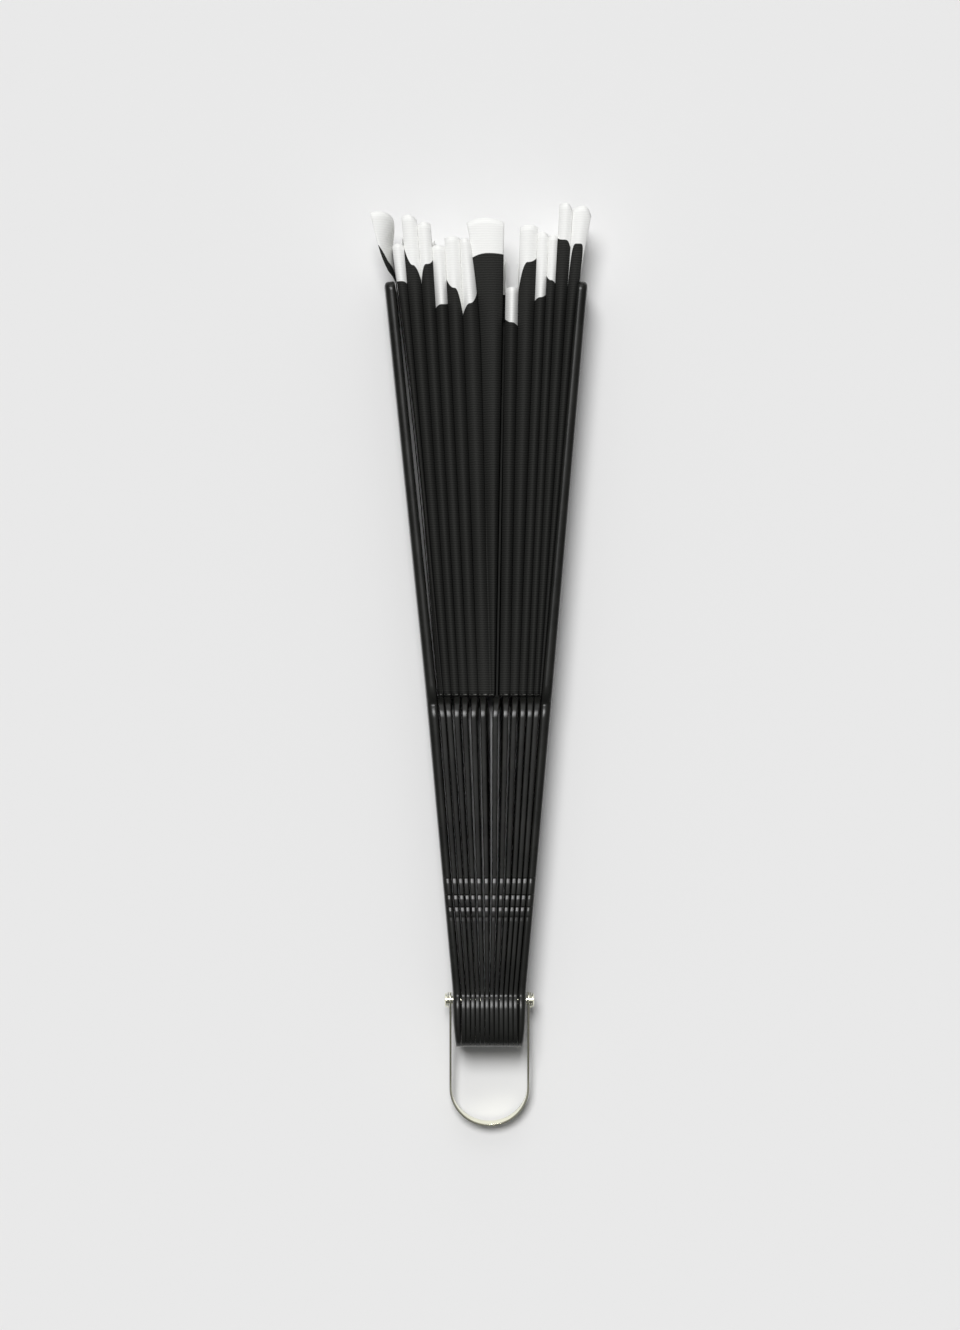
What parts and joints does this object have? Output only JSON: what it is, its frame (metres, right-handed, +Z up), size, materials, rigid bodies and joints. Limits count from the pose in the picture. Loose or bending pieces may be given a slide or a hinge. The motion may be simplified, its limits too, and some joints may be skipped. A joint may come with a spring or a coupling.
{
  "type": "folding hand fan",
  "caption": "Folding hand fan with notched plastic guards and ribs on one rivet, a pleated cloth leaf and a thin U-shaped metal bail.",
  "frame": {"origin": "under the middle of the closed fan, on the surface that the guards' lower edges lie on", "axes": "+X along the rivet, +Y from the rivet towards the tips of the guards, +Z up from the surface"},
  "size_m": [0.069, 0.2786, 0.0221],
  "materials": {
    "stick_plastic": "satin black moulded plastic",
    "leaf_cloth": "fine ribbed black cloth with a white upper border",
    "pale_metal": "bright pale brass plating"
  },
  "bodies": {
    "left_guard": {"left_guard": "stick_plastic", "rivet": "pale_metal", "washer_left": "pale_metal", "washer_right": "pale_metal", "leaf_end_flap": "leaf_cloth", "leaf_fold_01": "leaf_cloth"},
    "rib_01": {"rib_01": "stick_plastic", "leaf_fold_02": "leaf_cloth"},
    "rib_02": {"rib_02": "stick_plastic", "leaf_fold_03": "leaf_cloth"},
    "rib_03": {"rib_03": "stick_plastic", "leaf_fold_04": "leaf_cloth"},
    "rib_04": {"rib_04": "stick_plastic", "leaf_fold_05": "leaf_cloth"},
    "rib_05": {"rib_05": "stick_plastic", "leaf_fold_06": "leaf_cloth"},
    "rib_06": {"rib_06": "stick_plastic", "leaf_fold_07": "leaf_cloth"},
    "rib_07": {"rib_07": "stick_plastic", "leaf_fold_08": "leaf_cloth"},
    "rib_08": {"rib_08": "stick_plastic", "leaf_fold_09": "leaf_cloth"},
    "rib_09": {"rib_09": "stick_plastic", "leaf_fold_10": "leaf_cloth"},
    "rib_10": {"rib_10": "stick_plastic", "leaf_fold_11": "leaf_cloth"},
    "rib_11": {"rib_11": "stick_plastic", "leaf_fold_12": "leaf_cloth"},
    "rib_12": {"rib_12": "stick_plastic", "leaf_fold_13": "leaf_cloth"},
    "right_guard": {"right_guard": "stick_plastic"},
    "bail": {"bail": "pale_metal"}
  },
  "joints": [
    {"name": "open_01", "type": "hinge", "parent": "left_guard", "child": "rib_01", "pos_m": [0, -0.10092, 0.011], "axis": [1, 0, 0], "range_deg": [0, 10], "deforming": ["leaf_fold_01"]},
    {"name": "open_02", "type": "hinge", "parent": "rib_01", "child": "rib_02", "pos_m": [0, -0.10092, 0.011], "axis": [1, 0, 0], "range_deg": [0, 10], "deforming": ["leaf_fold_02"]},
    {"name": "open_03", "type": "hinge", "parent": "rib_02", "child": "rib_03", "pos_m": [0, -0.10092, 0.011], "axis": [1, 0, 0], "range_deg": [0, 10], "deforming": ["leaf_fold_03"]},
    {"name": "open_04", "type": "hinge", "parent": "rib_03", "child": "rib_04", "pos_m": [0, -0.10092, 0.011], "axis": [1, 0, 0], "range_deg": [0, 10], "deforming": ["leaf_fold_04"]},
    {"name": "open_05", "type": "hinge", "parent": "rib_04", "child": "rib_05", "pos_m": [0, -0.10092, 0.011], "axis": [1, 0, 0], "range_deg": [0, 10], "deforming": ["leaf_fold_05"]},
    {"name": "open_06", "type": "hinge", "parent": "rib_05", "child": "rib_06", "pos_m": [0, -0.10092, 0.011], "axis": [1, 0, 0], "range_deg": [0, 10], "deforming": ["leaf_fold_06"]},
    {"name": "open_07", "type": "hinge", "parent": "rib_06", "child": "rib_07", "pos_m": [0, -0.10092, 0.011], "axis": [1, 0, 0], "range_deg": [0, 10], "deforming": ["leaf_fold_07"]},
    {"name": "open_08", "type": "hinge", "parent": "rib_07", "child": "rib_08", "pos_m": [0, -0.10092, 0.011], "axis": [1, 0, 0], "range_deg": [0, 10], "deforming": ["leaf_fold_08"]},
    {"name": "open_09", "type": "hinge", "parent": "rib_08", "child": "rib_09", "pos_m": [0, -0.10092, 0.011], "axis": [1, 0, 0], "range_deg": [0, 10], "deforming": ["leaf_fold_09"]},
    {"name": "open_10", "type": "hinge", "parent": "rib_09", "child": "rib_10", "pos_m": [0, -0.10092, 0.011], "axis": [1, 0, 0], "range_deg": [0, 10], "deforming": ["leaf_fold_10"]},
    {"name": "open_11", "type": "hinge", "parent": "rib_10", "child": "rib_11", "pos_m": [0, -0.10092, 0.011], "axis": [1, 0, 0], "range_deg": [0, 10], "deforming": ["leaf_fold_11"]},
    {"name": "open_12", "type": "hinge", "parent": "rib_11", "child": "rib_12", "pos_m": [0, -0.10092, 0.011], "axis": [1, 0, 0], "range_deg": [0, 10], "deforming": ["leaf_fold_12"]},
    {"name": "open_13", "type": "hinge", "parent": "rib_12", "child": "right_guard", "pos_m": [0, -0.10092, 0.011], "axis": [1, 0, 0], "range_deg": [0, 10], "deforming": ["leaf_fold_13"]},
    {"name": "bail_swing", "type": "hinge", "parent": "left_guard", "child": "bail", "pos_m": [0, -0.10092, 0.011], "axis": [1, 0, 0], "range_deg": [-20, 110]}
  ],
  "couplings": [
    {"joint": "open_02", "follows": "open_01", "ratio": 1},
    {"joint": "open_03", "follows": "open_01", "ratio": 1},
    {"joint": "open_04", "follows": "open_01", "ratio": 1},
    {"joint": "open_05", "follows": "open_01", "ratio": 1},
    {"joint": "open_06", "follows": "open_01", "ratio": 1},
    {"joint": "open_07", "follows": "open_01", "ratio": 1},
    {"joint": "open_08", "follows": "open_01", "ratio": 1},
    {"joint": "open_09", "follows": "open_01", "ratio": 1},
    {"joint": "open_10", "follows": "open_01", "ratio": 1},
    {"joint": "open_11", "follows": "open_01", "ratio": 1},
    {"joint": "open_12", "follows": "open_01", "ratio": 1},
    {"joint": "open_13", "follows": "open_01", "ratio": 1}
  ]
}
